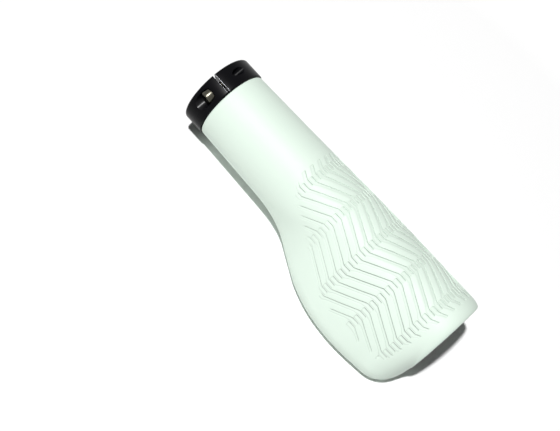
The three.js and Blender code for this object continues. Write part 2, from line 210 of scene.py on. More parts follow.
class StageSizes(PropertyGroup):
    """Floor, lamp and camera."""

    focal_length: FloatProperty(
        name="Focal length",
        description="Camera's focal length for a 36 mm wide picture",
        default=67.4,
        unit="CAMERA",
    )
    floor_size: length("Floor size", "Width of the floor", 6.0)
    key_energy: FloatProperty(name="Key lamp", description="Power of the key lamp", default=163.0)
    sky: FloatProperty(name="Sky", description="Strength of the even light", default=0.03)


def bar_matrix(turn=0.0):
    """From the pieces' own frame about the bar to the model's frame."""
    place = Matrix.Translation((INBOARD_X, BAR_Y, BAR_Z))
    return place @ Matrix.Rotation(turn, 4, "X")


def new_object(name, vertices, faces, smooth_angle=math.radians(35)):
    """A mesh object with smooth shading, apart from edges sharper than the angle."""
    mesh = bpy.data.meshes.new(name)
    mesh.from_pydata([tuple(v) for v in vertices], [], faces)
    mesh.validate()
    made = bpy.data.objects.new(name, mesh)
    bpy.context.scene.collection.objects.link(made)
    point_outwards(made)
    smooth(made, smooth_angle)
    return made


def point_outwards(thing):
    """Turns all faces of a closed mesh outwards."""
    bm = bmesh.new()
    bm.from_mesh(thing.data)
    bmesh.ops.recalc_face_normals(bm, faces=bm.faces)
    if bm.calc_volume(signed=True) < 0:
        bmesh.ops.reverse_faces(bm, faces=bm.faces)
    bm.to_mesh(thing.data)
    bm.free()


def smooth(thing, angle):
    """Smooth shading with sharp edges above an angle."""
    thing.data.shade_smooth()
    thing.data.set_sharp_from_angle(angle=angle)


def grid_faces(loops, columns, closed):
    """Quads between loops of points, round each loop and, if closed, from last to first."""
    faces = []
    steps = loops if closed else loops - 1
    for i in range(steps):
        a = i * columns
        b = ((i + 1) % loops) * columns
        for j in range(columns):
            k = (j + 1) % columns
            faces.append((a + j, a + k, b + k, b + j))
    return faces


def rounded(corners, steps=5):
    """An outline of (radius, x, rounding) corners, with each rounding drawn as an arc."""
    outline = []
    last = len(corners) - 1
    for i, (radius, x, rounding) in enumerate(corners):
        here = Vector((radius, x))
        if rounding == 0 or i in (0, last):
            outline.append((radius, x))
            continue
        before = (Vector(corners[i - 1][:2]) - here).normalized()
        after = (Vector(corners[i + 1][:2]) - here).normalized()
        half = before.angle(after) / 2
        cut = rounding / math.tan(half)
        centre = here + (before + after).normalized() * (rounding / math.sin(half))
        arm = here + before * cut - centre
        turn = before.cross(after)
        sweep = math.copysign(math.pi - 2 * half, turn)
        for k in range(steps + 1):
            angle = -sweep * k / steps
            c, s = math.cos(angle), math.sin(angle)
            outline.append((centre.x + c * arm.x - s * arm.y, centre.y + s * arm.x + c * arm.y))
    return outline


def revolved(outline, sides):
    """Points and faces of an outline of (radius, x) turned about the bar's axis."""
    vertices = []
    rings = []
    for radius, x in outline:
        if radius < ON_AXIS:
            rings.append([len(vertices)])
            vertices.append((x, 0.0, 0.0))
            continue
        rings.append(list(range(len(vertices), len(vertices) + sides)))
        for k in range(sides):
            angle = FULL_TURN * k / sides
            vertices.append((x, radius * math.cos(angle), radius * math.sin(angle)))
    closed = outline[0][0] > ON_AXIS
    faces = []
    for i in range(len(rings) if closed else len(rings) - 1):
        a = rings[i]
        b = rings[(i + 1) % len(rings)]
        for k in range(sides):
            n = (k + 1) % sides
            if len(a) == 1:
                faces.append((a[0], b[n], b[k]))
            elif len(b) == 1:
                faces.append((a[k], a[n], b[0]))
            else:
                faces.append((a[k], a[n], b[n], b[k]))
    return vertices, faces


def prism(name, outline, axis, start, end):
    """A closed prism: an outline of two-number points, drawn out along an axis letter."""
    order = {"x": lambda p, d: (d, p[0], p[1]), "y": lambda p, d: (p[0], d, p[1])}[axis]
    count = len(outline)
    vertices = [order(p, start) for p in outline] + [order(p, end) for p in outline]
    faces = [tuple(range(count)), tuple(range(2 * count - 1, count - 1, -1))]
    for k in range(count):
        n = (k + 1) % count
        faces.append((k, n, count + n, count + k))
    return new_object(name, vertices, faces)


def circle_outline(centre, radius, sides):
    """Points of a circle, as an outline for a prism."""
    points = []
    for k in range(sides):
        angle = FULL_TURN * k / sides
        points.append((centre[0] + radius * math.cos(angle), centre[1] + radius * math.sin(angle)))
    return points


def sector_outline(inner, outer, middle, width, steps=10):
    """Points of a ring's sector, about an angle measured from +Z towards -Y."""
    angles = [middle + width * (k / steps - 0.5) for k in range(steps + 1)]
    outside = [(-outer * math.sin(a), outer * math.cos(a)) for a in angles]
    inside = [(-inner * math.sin(a), inner * math.cos(a)) for a in reversed(angles)]
    return outside + inside


def combine(thing, tool, operation):
    """Cuts a tool away from a piece, or joins it on, and deletes the tool."""
    change = thing.modifiers.new("combine", "BOOLEAN")
    change.operation = operation
    change.solver = "EXACT"
    change.material_mode = "TRANSFER"
    change.object = tool
    graph = bpy.context.evaluated_depsgraph_get()
    made = bpy.data.meshes.new_from_object(thing.evaluated_get(graph))
    thing.modifiers.clear()
    thing.data = made
    bpy.data.objects.remove(tool)


def cut_away(thing, tool, finish):
    """Cuts a tool away from a piece, with a finish on the faces that it cuts."""
    tool.data.materials.append(finish)
    combine(thing, tool, "DIFFERENCE")


def settle(thing, matrix, node):
    """Puts a finished piece in its place, where it stands for its CAD node."""
    thing.data.transform(matrix)
    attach(thing, BODY)
    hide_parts(node)


class Finish:
    """A material's node tree, with a few short ways to add to it."""

    def __init__(self, name):
        self.material = bpy.data.materials.new(name)
        self.material.use_nodes = True
        self.tree = self.material.node_tree
        self.shader = self.tree.nodes["Principled BSDF"]
        self.place = self.add("ShaderNodeTexCoord").outputs["Object"]

    def add(self, kind, **sockets):
        """A node with some of its inputs set, by name."""
        node = self.tree.nodes.new(kind)
        for key, value in sockets.items():
            node.inputs[key.replace("_", " ")].default_value = value
        return node

    def link(self, start, end):
        """Joins an output to an input."""
        self.tree.links.new(start, end)

    def set(self, **sockets):
        """Values on the shader's own sockets, by name."""
        for key, value in sockets.items():
            self.shader.inputs[key.replace("_", " ")].default_value = value

    def noise(self, size, detail=2.0, stretch=None):
        """A noise of features of about a size in metres, stretched along the axes if asked."""
        node = self.add("ShaderNodeTexNoise", Scale=1 / size, Detail=detail)
        source = self.place
        if stretch:
            mapping = self.add("ShaderNodeMapping", Scale=stretch)
            self.link(self.place, mapping.inputs["Vector"])
            source = mapping.outputs["Vector"]
        self.link(source, node.inputs["Vector"])
        return node.outputs["Fac"]

    def spread(self, source, low, high):
        """A share from 0 to 1 mapped between two values."""
        node = self.add("ShaderNodeMapRange", To_Min=low, To_Max=high)
        self.link(source, node.inputs["Value"])
        return node.outputs["Result"]

    def mix(self, share, first, second):
        """A colour between two, by a share."""
        node = self.tree.nodes.new("ShaderNodeMix")
        node.data_type = "RGBA"
        self.link(share, node.inputs["Factor"])
        for socket, value in ((node.inputs[6], first), (node.inputs[7], second)):
            if isinstance(value, bpy.types.NodeSocket):
                self.link(value, socket)
            else:
                socket.default_value = (*value, 1.0)
        return node.outputs[2]

    def bump(self, height, depth, strength=1.0, below=None):
        """A bump of a real depth in metres, on top of another one if given."""
        node = self.add("ShaderNodeBump", Strength=strength, Distance=depth)
        self.link(height, node.inputs["Height"])
        if below:
            self.link(below, node.inputs["Normal"])
        return node.outputs["Normal"]

    def colour(self, source):
        """Sends a colour to the shader."""
        self.link(source, self.shader.inputs["Base Color"])

    def roughness(self, source):
        """Sends a roughness to the shader."""
        self.link(source, self.shader.inputs["Roughness"])

    def normal(self, source):
        """Sends a bumped normal to the shader."""
        self.link(source, self.shader.inputs["Normal"])


def shade(colour, share):
    """A colour made darker or lighter by a share."""
    return tuple(min(1.0, part * share) for part in colour)


def rubber_finish(sizes):
    """Satin pale rubber: a fine grain, faint clouds of colour, and painted shade in the tread grooves.
    """
    finish = Finish("Pale rubber")
    finish.set(Specular_IOR_Level=0.5)
    clouds = finish.noise(14 * MM, detail=3.0)
    plain = finish.mix(clouds, shade(sizes.rubber, 0.985), shade(sizes.rubber, 1.015))
    # Painted shade in the grooves' creases: a darker copy of the rubber, mixed in by the points' tread
    # shade attribute
    groove = shade(sizes.rubber, 0.20)
    tread = finish.add("ShaderNodeAttribute")
    tread.attribute_name = "tread_painted_shade"
    finish.colour(finish.mix(tread.outputs["Fac"], plain, groove))
    finish.roughness(finish.spread(finish.noise(3 * MM), 0.52, 0.60))
    grain = finish.bump(finish.noise(0.22 * MM, detail=3.0), 0.018 * MM, 0.5)
    finish.normal(finish.bump(finish.noise(2.5 * MM), 0.03 * MM, 0.5, grain))
    return finish.material


def anodised_finish(name, sizes, level):
    """Black anodised metal with faint turning marks, which reflects more at a higher level."""
    finish = Finish(name)
    finish.set(Specular_IOR_Level=level)
    clouds = finish.noise(6 * MM)
    finish.colour(finish.mix(clouds, sizes.ring_black, shade(sizes.ring_black, 1.8)))
    finish.roughness(finish.spread(finish.noise(1.2 * MM), 0.27, 0.35))
    turning = finish.noise(0.3 * MM, detail=1.0, stretch=(1.0, 0.03, 0.03))
    finish.normal(finish.bump(turning, 0.004 * MM, 0.5))
    return finish.material


def bare_metal_finish(sizes):
    """Metal cut through the black finish, with fine saw marks."""
    finish = Finish("Bare cut metal")
    finish.set(Metallic=1.0)
    marks = finish.noise(0.25 * MM, stretch=(0.1, 1.0, 1.0))
    finish.colour(finish.mix(marks, shade(sizes.bare_metal, 0.85), sizes.bare_metal))
    finish.roughness(finish.spread(marks, 0.25, 0.42))
    finish.normal(finish.bump(marks, 0.006 * MM, 0.6))
    return finish.material


def steel_finish(sizes):
    """Plated steel with a slight unevenness."""
    finish = Finish("Plated steel")
    finish.set(Metallic=1.0)
    clouds = finish.noise(1.5 * MM, detail=3.0)
    finish.colour(finish.mix(clouds, shade(sizes.steel, 0.9), sizes.steel))
    finish.roughness(finish.spread(clouds, 0.20, 0.34))
    finish.normal(finish.bump(finish.noise(0.2 * MM), 0.004 * MM, 0.5))
    return finish.material


def nylon_finish(sizes):
    """Stiff black nylon, mottled by its glass fibres."""
    finish = Finish("Black nylon")
    fibres = finish.noise(0.5 * MM, detail=4.0, stretch=(0.15, 1.0, 1.0))
    finish.colour(finish.mix(fibres, sizes.nylon, shade(sizes.nylon, 1.7)))
    finish.roughness(finish.spread(fibres, 0.45, 0.65))
    finish.normal(finish.bump(fibres, 0.012 * MM, 0.5))
    return finish.material


def moulded_finish(name, colour, low, high, grain):
    """Moulded plastic with a spark-eroded grain, of a size in metres."""
    finish = Finish(name)
    speckle = finish.noise(grain, detail=3.0)
    finish.colour(finish.mix(speckle, shade(colour, 0.85), shade(colour, 1.15)))
    finish.roughness(finish.spread(speckle, low, high))
    finish.normal(finish.bump(speckle, 0.02 * MM, 0.5))
    return finish.material


def along(stations, place):
    """A smooth curve through a few stations, each a place and a value."""
    last = len(stations) - 1

    def slope_at(k):
        before = stations[max(k - 1, 0)]
        after = stations[min(k + 1, last)]
        return (after[1] - before[1]) / (after[0] - before[0])

    i = 0
    while i < last - 1 and place > stations[i + 1][0]:
        i += 1
    x0, v0 = stations[i]
    x1, v1 = stations[i + 1]
    span = x1 - x0
    t = min(max((place - x0) / span, 0.0), 1.0)
    rise = t * t * (3 - 2 * t)
    leave = t * (1 - t) * (1 - t) * span * slope_at(i)
    arrive = t * t * (t - 1) * span * slope_at(i + 1)
    return v0 + (v1 - v0) * rise + leave + arrive


def round_off(share):
    """How far a quarter-round edge has fallen away at a share of its length."""
    t = np.clip(share, 0.0, 1.0)
    return 1 - np.sqrt(1 - t * t)


def smooth_step(x, low, high):
    """An easy rise from 0 to 1 between two places."""
    t = np.clip((x - low) / (high - low), 0.0, 1.0)
    return t * t * (3 - 2 * t)


# The wing's outline in plan: share of the palm length against share of the reach
WING_OUTLINE = [
    (0.0, 0.0),
    (0.18, 0.0),
    (0.288, 0.245),
    (0.405, 0.64),
    (0.544, 0.924),
    (0.705, 1.0),
    (0.855, 0.892),
    (1.0, 0.72),
]

# How far the tread stays in from the wing's rounded edge: at its start, at each row of corners,
# where the last fingers bend, and at its end
TREAD_INSET = [
    23.0 * MM,
    19.5 * MM,
    13.9 * MM,
    6.8 * MM,
    5.8 * MM,
    6.6 * MM,
    9.5 * MM,
    37.0 * MM,
]

# Strength of the lines' painted shade at the tread's start, in the middle of each run and at the tread's
# end
LINE_PAINTED_SHADE = [0.9, 0.5, 0.55, 1.0, 0.65, 0.9]

# How far the wing's edge stands out of the barrel where a section first has a wing
WING_START = 0.02 * MM

# Length over which the ramps widen beside the fingers
RAMP_EASE = 2 * MM


def tangent_centre(start, end, start_reach, end_reach):
    """Centre of an arc at given distances from two circles' centres."""
    line = end - start
    distance = line.length
    on_line = (start_reach**2 - end_reach**2 + distance**2) / (2 * distance)
    off_line = math.sqrt(max(start_reach**2 - on_line**2, 0.0))
    unit = line / distance
    side = Vector((-unit.y, unit.x))
    return start + unit * on_line + side * off_line


class SleeveForm:
    """The sleeve's section and tread at any place along the bar.

    A section is a bar circle and a smaller wing-edge circle, joined by a crowned top and a
    hollow underside. Angles are taken from +Y, over the top.
    """

    def __init__(self, sizes, ring_width):
        self.sizes = sizes
        self.ring_width = ring_width
        self.start = ring_width + sizes.start_gap
        self.palm_start = GRIP_LENGTH - sizes.palm_length
        last_row = GRIP_LENGTH - sizes.tread_to_end
        self.rows = [last_row - k * sizes.chevron for k in (4, 3, 2, 1, 0)]
        self.tread_start = self.rows[0] - sizes.lead_in
        self.last_bend = last_row + sizes.finger
        self.tread_end = self.last_bend + sizes.tail
        self.shift_places, self.shift_values = self.shift_corners()

    def bar_radius(self, x):
        """Radius of the barrel without its wing."""
        s = self.sizes
        stations = [
            (self.ring_width, s.start_diameter / 2),
            (s.neck_station, s.neck_diameter / 2),
            (s.palm_station, s.palm_diameter / 2),
            (GRIP_LENGTH, s.end_diameter / 2),
        ]
        return along(stations, x)

    def arcs(self, x):
        """The section's arcs as rows of centre y and z, radius, and angles from and to."""
        s = self.sizes
        thin = float(smooth_step(x, self.palm_start, self.palm_start + s.thinning))
        reach_share = along(WING_OUTLINE, (x - self.palm_start) / s.palm_length)
        corner = (x - GRIP_LENGTH + s.corner_length) / s.corner_length
        corner_fall = s.corner_depth * round_off(corner)
        end_fall = round_off((x - GRIP_LENGTH + s.end_rounding) / s.end_rounding)
        bar_radius = self.bar_radius(x)
        edge_radius = bar_radius + (s.edge_radius - bar_radius) * thin
        reach = bar_radius + (s.palm_reach - bar_radius) * reach_share - corner_fall
        bar = Vector((0.0, 0.0))
        edge = Vector((-max(reach - edge_radius, 0.0), edge_radius - bar_radius))
        lip_fall = s.lip * round_off((self.start + s.lip - x) / s.lip)
        r = bar_radius - s.rim_rounding * end_fall - lip_fall
        e = edge_radius - s.wing_rounding * end_fall * thin - lip_fall
        if edge.length <= r - e + WING_START:
            return np.array([[0.0, 0.0, r, 0.0, FULL_TURN]])
        crown = tangent_centre(bar, edge, s.crown_radius - r, s.crown_radius - e)
        hollow = tangent_centre(bar, edge, s.hollow_radius + r, s.hollow_radius + e)

        def heading(a, b):
            return math.atan2(b.y - a.y, b.x - a.x) % FULL_TURN

        crown_from = heading(crown, bar)
        crown_to = heading(crown, edge)
        edge_to = heading(edge, hollow)
        bar_from = heading(bar, hollow)
        return np.array(
            [
                [0.0, 0.0, r, 0.0, crown_from],
                [crown.x, crown.y, s.crown_radius, crown_from, crown_to],
                [edge.x, edge.y, e, crown_to, edge_to],
                [hollow.x, hollow.y, s.hollow_radius, edge_to + math.pi, bar_from + math.pi],
                [0.0, 0.0, r, bar_from, FULL_TURN],
            ]
        )

    @staticmethod
    def arc_lengths(arcs):
        """Length of each arc of a section."""
        return np.abs(arcs[:, 4] - arcs[:, 3]) * arcs[:, 2]

    def points(self, arcs, x, around, height):
        """Points at distances round a section, raised along its outward normal."""
        lengths = self.arc_lengths(arcs)
        ends = np.cumsum(lengths)
        rest = np.mod(around, ends[-1])
        k = np.minimum(np.searchsorted(ends, rest), len(arcs) - 1)
        centre_y, centre_z, radius, start, to = arcs[k].T
        turn = np.sign(to - start)
        angle = start + turn * (rest - (ends - lengths)[k]) / radius
        reach = radius + turn * height
        y = centre_y + reach * np.cos(angle)
        z = centre_z + reach * np.sin(angle)
        return np.column_stack([np.full_like(y, x), y, z])

    def shift_corners(self):
        """Corners of the zigzag that every line follows: places, and shifts round the sleeve."""
        s = self.sizes
        places = [self.rows[0] - s.chevron + s.finger]
        values = [-s.shift]
        for k, row in enumerate(self.rows):
            level = 0.0 if k % 2 == 0 else -s.shift
            places += [row, row + s.finger]
            values += [level, level]
        slope = s.shift / (s.chevron - s.finger)
        places.append(GRIP_LENGTH)
        values.append(values[-1] - slope * (GRIP_LENGTH - self.rows[-1] - s.finger))
        return np.array(places), np.array(values)

    def line_shift(self, x):
        """Shift of the lines at a place, with each bend rounded over a short length."""
        near = x + self.sizes.bend * np.linspace(-1, 1, 9)
        near = np.minimum(near, self.tread_end)
        return float(np.interp(near, self.shift_places, self.shift_values).mean())

    def tread_edge(self, arcs, x):
        """How far round the tread reaches towards the wing's edge."""
        places = [self.tread_start, *self.rows, self.last_bend, self.tread_end]
        return self.arc_lengths(arcs)[:2].sum() - float(np.interp(x, places, TREAD_INSET))

    def ramp(self, x):
        """Width of the grooves' ramps, which widen between the fingers."""
        s = self.sizes
        off = min(max(row - x, x - row - s.finger, 0.0) for row in [self.tread_start, *self.rows])
        return s.ramp + (s.finger_ramp - s.ramp) * float(1 - smooth_step(off, 0.0, RAMP_EASE))

    def run_share(self, x):
        """How far along a run of slanted lines a place is; nought between the fingers."""
        starts = [row + self.sizes.finger for row in self.rows[:-1]]
        share = 0.0
        for start, end in zip(starts, self.rows[1:], strict=True):
            if start < x < end:
                share = (x - start) / (end - start)
        return share

    def painted_line_shade(self, x):
        """Strength of the lines' painted shade at a place."""
        middles = [(a + b) / 2 for a, b in zip(self.rows[:-1], self.rows[1:], strict=True)]
        return float(np.interp(x, [self.tread_start, *middles, self.tread_end], LINE_PAINTED_SHADE))

    def cut_share(self, x, which, across):
        """How fully one set of lines is cut at distances behind its wall, and how near a start is."""
        s = self.sizes
        hook = s.hook * round_off(1 - across / s.hook)
        starts = [self.tread_start, *self.rows]
        ends = [row + s.finger for row in self.rows] + [self.tread_end]
        cut = np.zeros_like(across)
        close = np.zeros_like(across)
        for start, end in list(zip(starts, ends, strict=True))[1 - which :: 2]:
            entered = np.clip((x - start - hook) / s.wall + 0.5, 0.0, 1.0)
            left = np.clip((end - x - hook) / s.wall + 0.5, 0.0, 1.0)
            cut = np.maximum(cut, entered * left)
            close = np.maximum(close, np.clip(2 - abs(x - start - hook) / s.wall, 0.0, 1.0))
        return cut, close


# Points across one groove, as distances behind its line and shares of its depth, where those of the
# ramp are shares of its width, and the painted shade at each of the nine points: darkest at the wall's
# foot, faint at the ramp's top
GROOVE_EDGE = [(-0.10 * MM, 0.0), (-0.03 * MM, 0.04), (0.02 * MM, 0.25)]
GROOVE_WALL = [(0.09 * MM, 0.9), (0.16 * MM, 1.0), (0.34 * MM, 0.45)]
GROOVE_RAMP = [(0.55, 0.30), (0.94, 0.16), (1.02, 0.0)]
GROOVE_PAINTED_SHADE = np.array([0.0, 0.05, 0.9, 1.0, 0.95, 0.25, 0.0, 0.32, 0.0])

# Columns of points on the plain rest of the sleeve
PLAIN_COLUMNS = 36

# Halves of the lengths over which the tread ends round the sleeve: behind, and towards the wing
FRONT_EASE = 0.01 * MM
EDGE_EASE = 0.05 * MM

# Distances from the sleeve's top towards the wing, over which the far side's deeper runs end and
# over which the lines' painted shade grows from its faintest share to its full strength
BACK_FADE = (-16 * MM, -2 * MM)
LINE_FADE = (2 * MM, 22 * MM)
FAINTEST_PAINTED_SHADE = 0.35

# Distances from each bend and closed end at which the sleeve has a loop of points
CLOSE_STEPS = np.array([-0.6, -0.2, -0.06, 0.06, 0.2, 0.34, 0.46, 0.62, 0.9]) * MM

# Numbers of loops on the lip, each run of slanted lines, the tread's tail and the rounded end,
# the angle of that end's first loop, and the distance between the plain neck's loops
LIP_LOOPS = 6
RUN_LOOPS = 15
TAIL_LOOPS = 3
END_LOOPS = 22
FIRST_TURN = 0.15
NECK_STEP = 1.6 * MM

# Spaces that those loops leave beside the lip, the bends, the tread's ends and the tail's end
LIP_SPACE = 1.5 * MM
RUN_SPACE = 0.6 * MM
TREAD_SPACE = 1.2 * MM
TAIL_SPACE = 1.0 * MM


def groove_section(ramp):
    """Distances behind a line, and shares of the groove's depth there."""
    steps = GROOVE_EDGE + GROOVE_WALL + [(share * ramp, depth) for share, depth in GROOVE_RAMP]
    return np.array(steps).T


def sleeve_places(form):
    """Places along the bar where the sleeve has a loop of points."""
    s = form.sizes
    lip_turn = np.linspace(0, math.pi / 2, LIP_LOOPS)
    places = list(form.start + s.lip * (1 - np.cos(lip_turn)))
    neck_start = form.start + s.lip + LIP_SPACE
    places += list(np.arange(neck_start, form.tread_start - TREAD_SPACE, NECK_STEP))
    places += list(form.tread_start + CLOSE_STEPS)
    places += [(form.tread_start + form.rows[0]) / 2]
    for row in form.rows:
        places += list(row + CLOSE_STEPS)
        places += [row + s.finger / 2]
        places += list(row + s.finger - CLOSE_STEPS)
    for row, after in zip(form.rows[:-1], form.rows[1:], strict=True):
        run = np.linspace(row + s.finger + RUN_SPACE, after - RUN_SPACE, RUN_LOOPS)
        places += list(run[1:-1])
    tail_start = form.last_bend + TREAD_SPACE
    places += list(np.linspace(tail_start, form.tread_end - TAIL_SPACE, TAIL_LOOPS))
    places += list(form.tread_end - CLOSE_STEPS)
    end_start = form.tread_end + TREAD_SPACE
    end_turn = np.linspace(FIRST_TURN, math.pi / 2, END_LOOPS)
    places += list(end_start + (GRIP_LENGTH - end_start) * np.sin(end_turn))
    return np.unique(np.round(places, 7))


def far_side_ramp(form, x, which, across, cut):
    """Depths of the long ramps at a place on the far side, as shares of the groove depth."""
    s = form.sizes
    before, _ = form.cut_share(x, 1 - which, across + s.pitch / 2)
    ramp_here = (across > s.wall / 2) * (1 - across / s.pitch) * cut
    ramp_before = (0.5 - across / s.pitch) * before
    return np.maximum(ramp_here, ramp_before) * s.back_depth / s.depth


def sleeve_loop(form, x):
    """One loop of points round the sleeve, with the painted shade of the tread at each."""
    s = form.sizes
    arcs = form.arcs(x)
    girth = form.arc_lengths(arcs).sum()
    top = arcs[0, 2] * math.pi / 2
    front = top + s.tread_front
    start = front + form.line_shift(x)
    across, fall = groove_section(form.ramp(x))
    edge = form.tread_edge(arcs, x) if len(arcs) > 1 else 0.0
    run = form.run_share(x)
    painted_line_shade = form.painted_line_shade(x)
    around = []
    depth = []
    dark = []
    for line in range(2 * s.grooves):
        place = start + line * s.pitch / 2
        inside = smooth_step(place - front, -FRONT_EASE, FRONT_EASE)
        inside *= smooth_step(edge - place, -EDGE_EASE, EDGE_EASE)
        cut, close = form.cut_share(x, line % 2, across)
        back = run * (1 - smooth_step(place - top, *BACK_FADE))
        long_ramp = back * far_side_ramp(form, x, line % 2, across, cut)
        strength = FAINTEST_PAINTED_SHADE + (1 - FAINTEST_PAINTED_SHADE) * smooth_step(place - top, *LINE_FADE)
        around.append(place + across)
        depth.append(np.maximum(fall * cut, long_ramp) * inside)
        # Painted shade in the grooves: at each wall's foot and at the closed starts, weaker on the lit
        # top
        dark.append(painted_line_shade * strength * inside * cut * np.maximum(GROOVE_PAINTED_SHADE, close * fall))
    spare = girth - s.grooves * s.pitch
    plain = start + s.grooves * s.pitch + GROOVE_EDGE[0][0]
    around.append(plain + spare * np.arange(PLAIN_COLUMNS) / PLAIN_COLUMNS)
    depth.append(np.zeros(PLAIN_COLUMNS))
    dark.append(np.zeros(PLAIN_COLUMNS))
    around = np.concatenate(around)
    height = -s.depth * np.concatenate(depth) - s.skin
    return form.points(arcs, x, around, height), np.concatenate(dark)


def inner_loop(outer, x, radius):
    """A round loop whose points lie beside those of an outer loop."""
    angle = np.arctan2(outer[:, 2], outer[:, 1])
    return np.column_stack([np.full_like(angle, x), radius * np.cos(angle), radius * np.sin(angle)])


class GRIP_OT_sleeve(Operator):
    """Make the rubber sleeve with its palm wing and chevron tread."""

    bl_idname = "grip.sleeve"
    bl_label = "Rubber sleeve"

    def execute(self, context):
        s = context.scene.grip_sleeve
        cap = context.scene.grip_cap
        form = SleeveForm(s, context.scene.grip_clamp.width)
        loops = []
        painted_shades = []
        for x in sleeve_places(form):
            points, dark = sleeve_loop(form, float(x))
            loops.append(points)
            painted_shades.append(dark)
        outer_end = loops[-1]
        outer_start = loops[0]
        floor = GRIP_LENGTH - cap.sink - cap.recess - cap.web - cap.skirt_gap
        rim = 0.3 * MM
        rim_middle = 0.3 * rim
        for x, radius in (
            (GRIP_LENGTH, s.pocket + rim),
            (GRIP_LENGTH - rim_middle, s.pocket + rim_middle),
            (GRIP_LENGTH - rim, s.pocket),
            (floor, s.pocket),
            (floor, s.bore),
        ):
            loops.append(inner_loop(outer_end, x, radius))
        loops.append(inner_loop(outer_start, form.start, s.bore))
        vertices = np.concatenate(loops)
        faces = grid_faces(len(loops), len(outer_end), closed=True)
        sleeve = new_object("sleeve", vertices, faces, smooth_angle=math.radians(48))
        # The tread's painted shade goes on the points, where the rubber's colour reads it
        dark = np.concatenate(painted_shades)
        tread = np.zeros(len(vertices), np.float32)
        tread[: len(dark)] = dark
        layer = sleeve.data.attributes.new("tread_painted_shade", "FLOAT", "POINT")
        layer.data.foreach_set("value", tread)
        sleeve.data.materials.append(rubber_finish(s))
        settle(sleeve, bar_matrix(), "rubber_sleeve")
        return {"FINISHED"}


class GRIP_OT_clamp_ring(Operator):
    """Make the split clamp ring, with its slit, screw holes and key notches."""

    bl_idname = "grip.clamp_ring"
    bl_label = "Clamp ring"

    def execute(self, context):
        s = context.scene.grip_clamp
        radius = s.diameter / 2
        mouth = 0.3 * MM
        back_edge = 0.12 * MM
        outline = rounded(
            [
                (s.bore + mouth, 0.0, 0.0),
                (radius, 0.0, s.front_chamfer),
                (radius, s.width, s.back_chamfer),
                (s.bore, s.width, back_edge),
                (s.bore, mouth, 0.0),
            ],
            steps=7,
        )
        ring = new_object("ring", *revolved(outline, sides=192))
        black = anodised_finish("Black anodised metal", s, level=0.055)
        cut = anodised_finish("Cut black metal", s, level=0.15)
        ring.data.materials.append(black)
        middle = (s.bore + radius) / 2
        beyond = 2 * radius
        cut_slit(ring, s, black)
        across = (s.width / 2, middle)
        thread = circle_outline(across, s.shank / 2 - s.thread_depth / 2, sides=48)
        cut_away(ring, prism("thread_hole", thread, "y", 0.0, beyond), black)
        clearance = 0.2 * MM
        clear = circle_outline(across, s.shank / 2 + clearance, sides=48)
        cut_away(ring, prism("clearance_hole", clear, "y", -s.head_seat - MM, 0.0), cut)
        pocket = circle_outline(across, s.head / 2 + s.fit_gap, sides=64)
        cut_away(ring, prism("head_pocket", pocket, "y", -beyond, -s.head_seat), cut)
        notch = s.key_angle + 2 * s.fit_gap / s.bore
        start = s.width - s.key_length - s.fit_gap
        for angle in key_angles():
            outline = sector_outline(s.bore - MM, s.core_radius + s.fit_gap, angle, notch)
            cut_away(ring, prism("notch", outline, "x", start, s.width + MM), cut)
        smooth(ring, math.radians(30))
        settle(ring, bar_matrix(s.slit_angle), "clamp_ring")
        return {"FINISHED"}


def cut_slit(ring, s, black):
    """Cuts the ring's slit, whose flared edges show bare metal."""
    half = s.slit / 2
    flare = half + 2 * s.slit_chamfer
    low = s.diameter / 2 - s.slit_chamfer
    high = s.diameter / 2 + s.slit_chamfer
    slit = [(-half, 0.0), (half, 0.0), (half, low), (flare, high), (-flare, high), (-half, low)]
    cutter = prism("slit", slit, "x", -s.width, 2 * s.width)
    cutter.data.materials.append(black)
    cutter.data.materials.append(bare_metal_finish(s))
    for face in cutter.data.polygons:
        flared = 0.1 < abs(face.normal.z) < 0.9
        face.material_index = int(flared)
    combine(ring, cutter, "DIFFERENCE")


def key_angles():
    """Angles of the core's keys, spread round the bar and clear of the slit and the opposite side."""
    step = FULL_TURN / 6
    return [step * k for k in (1, 2, 4, 5)]


# Points round the screw, loops to each turn of its thread, and the thread's tapered tip
SCREW_SIDES = 40
TURN_LOOPS = 10
TIP_LENGTH = 0.8 * MM


def screw_point(radius, y, k):
    """Point number k round the screw's axis."""
    angle = FULL_TURN * k / SCREW_SIDES
    return (radius * math.cos(angle), y, radius * math.sin(angle))


def thread_radius(s, y, k, start):
    """Radius of the threaded shank at a place along it and round it."""
    phase = (y / s.thread_pitch - k / SCREW_SIDES) % 1.0
    crest = 1 - abs(2 * phase - 1)
    tip = min(1.0, (y - start) / TIP_LENGTH)
    return s.shank / 2 - s.thread_depth * (2 - min(1.3 * crest, 1.0) - tip)


def threaded_rod(s, start, end):
    """Loops of points of a shank with a helical thread, along Y."""
    count = int((end - start) / s.thread_pitch * TURN_LOOPS)
    loops = []
    for y in np.linspace(start, end, count + 1):
        loops.append([screw_point(thread_radius(s, y, k, start), y, k) for k in range(SCREW_SIDES)])
    return loops


